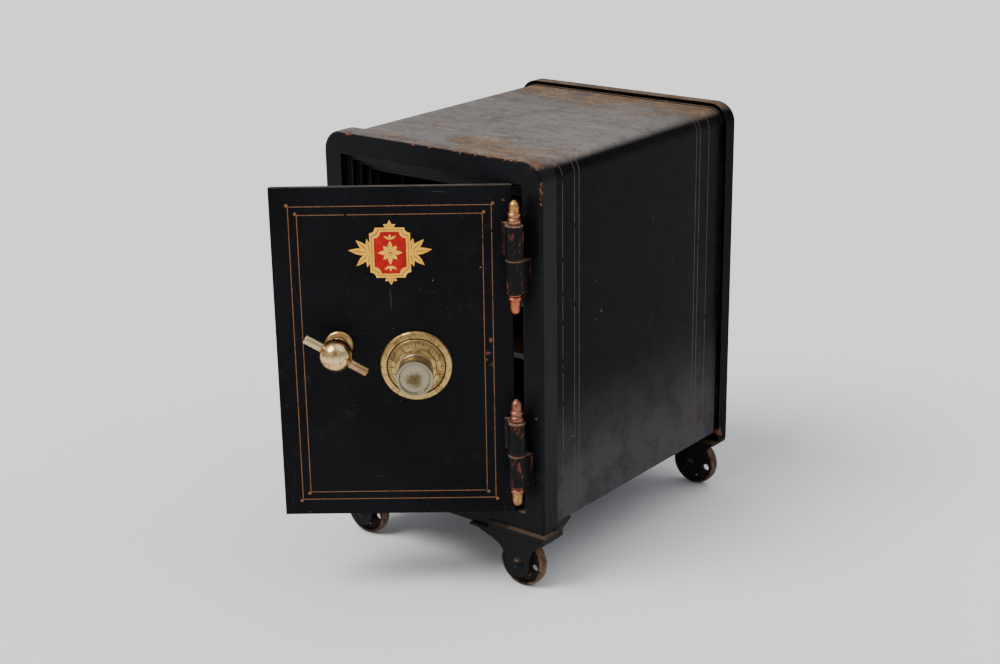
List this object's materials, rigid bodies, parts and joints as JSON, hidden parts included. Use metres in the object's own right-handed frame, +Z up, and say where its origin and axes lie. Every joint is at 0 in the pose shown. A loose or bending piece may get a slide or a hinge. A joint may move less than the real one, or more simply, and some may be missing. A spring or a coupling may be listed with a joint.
{
  "type": "fire safe on casters",
  "caption": "Small upright fire safe on casters, with a hinged door standing open, a combination dial, a ball handle and a wooden inner cabinet.",
  "frame": {"origin": "on the floor under the middle of the body, between the front and rear frames", "axes": "+Z up, the door side faces -Y, the door is hinged at its +X side"},
  "size_m": [0.3446, 0.6112, 0.537],
  "materials": {
    "black_enamel": "satin black japan, chipped to rust at the edges",
    "black_casting": "black painted casting, rust at the edges",
    "copper_finial": "coppery brass, tarnished",
    "grey_enamel": "dull grey enamel",
    "fire_fill": "cast fireproof fill",
    "cabinet_wood": "dark varnished hardwood",
    "brass": "aged brass",
    "worn_nickel": "nickel plate worn to brass",
    "steel": "oiled plain steel",
    "rusty_iron": "rusty cast iron"
  },
  "bodies": {
    "body": {"front_frame": "black_enamel", "rear_frame": "black_enamel", "outer_shell": "black_enamel", "bottom_plate": "black_enamel", "back_panel": "black_enamel", "back_panel_screws": "steel", "jamb_frame": "black_enamel", "inner_liner": "grey_enamel", "insulation": "fire_fill", "cabinet_case": "cabinet_wood", "upper_shelf": "cabinet_wood", "lower_shelf": "cabinet_wood", "shelf_divider": "cabinet_wood", "upper_body_hinge": "black_casting", "lower_body_hinge": "black_casting", "upper_hinge_pin": "copper_finial", "lower_hinge_pin": "copper_finial", "front_left_caster_bracket": "black_casting", "front_right_caster_bracket": "black_casting", "rear_left_caster_bracket": "black_casting", "rear_right_caster_bracket": "black_casting", "caster_axles": "rusty_iron", "bracket_screws": "steel"},
    "door": {"door_plate": "black_enamel", "door_step_frame": "black_enamel", "door_insulation": "fire_fill", "door_inner_plate": "grey_enamel", "inner_plate_screws": "steel", "upper_door_hinge": "black_casting", "lower_door_hinge": "black_casting", "handle_escutcheon": "brass", "bolt_guides": "steel", "guide_screws": "steel", "dial_ring": "brass", "lock_case": "grey_enamel", "lock_cover": "grey_enamel", "lock_cover_screws": "steel"},
    "handle": {"handle_ball": "worn_nickel", "handle_rod": "worn_nickel", "handle_spindle": "steel", "bolt_cam": "steel"},
    "bolt_work": {"bolt_bar": "steel", "upper_bolt": "steel", "middle_bolt": "steel", "lower_bolt": "steel"},
    "dial": {"dial": "brass", "dial_knob": "worn_nickel", "dial_spindle": "steel", "drive_cam": "brass", "combination_wheels": "brass"},
    "lock_bolt": {"lock_bolt": "steel", "lock_lever": "steel"},
    "drawer": {"cash_drawer": "cabinet_wood", "drawer_knob": "brass"},
    "front_left_wheel": {"front_left_wheel": "rusty_iron"},
    "front_right_wheel": {"front_right_wheel": "rusty_iron"},
    "rear_left_wheel": {"rear_left_wheel": "rusty_iron"},
    "rear_right_wheel": {"rear_right_wheel": "rusty_iron"}
  },
  "joints": [
    {"name": "door_swing", "type": "hinge", "parent": "body", "child": "door", "pos_m": [0.1417, -0.2286, 0.305], "axis": [0, 0, 1], "range_deg": [-37.8, 127.2]},
    {"name": "handle_turn", "type": "hinge", "parent": "door", "child": "handle", "pos_m": [-0.0335, -0.34096, 0.3187], "axis": [-0.6129, 0.7902, 0], "range_deg": [-60, 0]},
    {"name": "bolt_throw", "type": "slide", "parent": "door", "child": "bolt_work", "axis": [0.7902, 0.6129, 0], "range_m": [-0.016, 0]},
    {"name": "dial_turn", "type": "hinge", "parent": "door", "child": "dial", "pos_m": [0.03777, -0.28568, 0.2918], "axis": [0.6129, -0.7902, 0], "continuous": true},
    {"name": "lock_bolt_slide", "type": "slide", "parent": "door", "child": "lock_bolt", "axis": [0, 0, -1], "range_m": [-0.011, 0]},
    {"name": "drawer_slide", "type": "slide", "parent": "body", "child": "drawer", "axis": [0, -1, 0], "range_m": [0, 0.09]},
    {"name": "front_left_wheel_spin", "type": "hinge", "parent": "body", "child": "front_left_wheel", "pos_m": [-0.1285, -0.2005, 0.032], "axis": [0, 1, 0], "continuous": true},
    {"name": "front_right_wheel_spin", "type": "hinge", "parent": "body", "child": "front_right_wheel", "pos_m": [0.1285, -0.2005, 0.032], "axis": [0, 1, 0], "continuous": true},
    {"name": "rear_left_wheel_spin", "type": "hinge", "parent": "body", "child": "rear_left_wheel", "pos_m": [-0.132, 0.19, 0.032], "axis": [0, 1, 0], "continuous": true},
    {"name": "rear_right_wheel_spin", "type": "hinge", "parent": "body", "child": "rear_right_wheel", "pos_m": [0.132, 0.19, 0.032], "axis": [0, 1, 0], "continuous": true}
  ],
  "couplings": [
    {"joint": "bolt_throw", "follows": "handle_turn", "m_per_rad": 0.015279}
  ]
}
